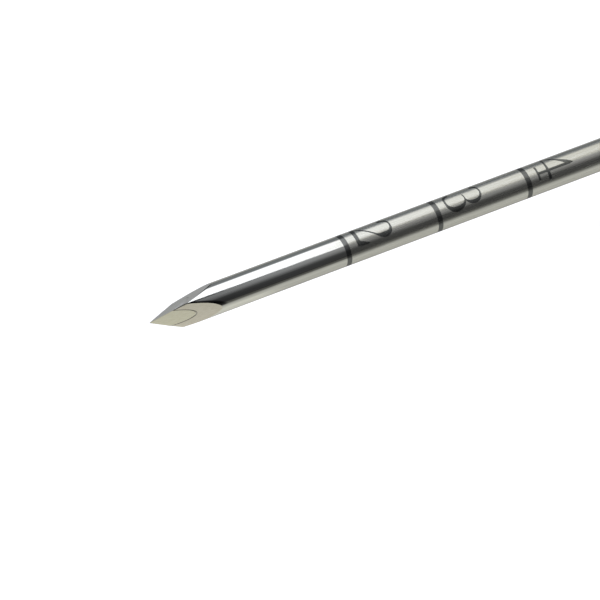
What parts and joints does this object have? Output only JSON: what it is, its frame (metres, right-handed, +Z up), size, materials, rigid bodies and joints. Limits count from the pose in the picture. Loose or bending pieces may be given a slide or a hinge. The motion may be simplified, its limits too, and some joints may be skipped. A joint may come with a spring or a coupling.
{
  "type": "bone marrow needle",
  "caption": "T-handled bone marrow needle: a graduated steel cannula with a faceted trocar point and a lift-out stylet held by a luer lock collar and palm cap.",
  "frame": {"origin": "under the middle of the whole length, on the surface that the handle lies on", "axes": "+X along the needle from its point to the palm cap, Y across the handle's wings, +Z up from the surface"},
  "size_m": [0.168, 0.08, 0.017],
  "materials": {
    "needle_steel": "mirror-polished end, satin shank",
    "stylet_steel": "ground facets, polished rod",
    "turned_steel": "fine turned",
    "screw_steel": "satin",
    "shell_plastic": "fine moulded texture",
    "hub_plastic": "smooth moulded",
    "collar_plastic": "satin moulded",
    "grip_rubber": "soft matt"
  },
  "bodies": {
    "cannula_and_handle": {"cannula": "needle_steel", "nose_sleeve": "turned_steel", "cannula_hub": "turned_steel", "crossbar": "turned_steel", "handle_upper_shell": "shell_plastic", "handle_lower_shell": "shell_plastic", "grip_sleeve_left": "grip_rubber", "grip_sleeve_right": "grip_rubber", "handle_screw_1": "screw_steel", "handle_screw_2": "screw_steel", "handle_screw_3": "screw_steel", "handle_screw_4": "screw_steel"},
    "stylet_and_cap": {"stylet": "stylet_steel", "stylet_hub": "hub_plastic", "stylet_pin": "turned_steel", "palm_cap_base": "shell_plastic", "palm_cap_cover": "shell_plastic", "cap_screw_left": "screw_steel", "cap_screw_right": "screw_steel"},
    "lock_collar": {"lock_collar": "collar_plastic"}
  },
  "joints": [
    {"name": "stylet_withdraw", "type": "slide", "parent": "cannula_and_handle", "child": "stylet_and_cap", "axis": [1, 0, 0], "range_m": [0, 0.16]},
    {"name": "lock_collar_turn", "type": "hinge", "parent": "stylet_and_cap", "child": "lock_collar", "pos_m": [0.0645, 0, 0.0085], "axis": [1, 0, 0], "range_deg": [0, 270]}
  ]
}
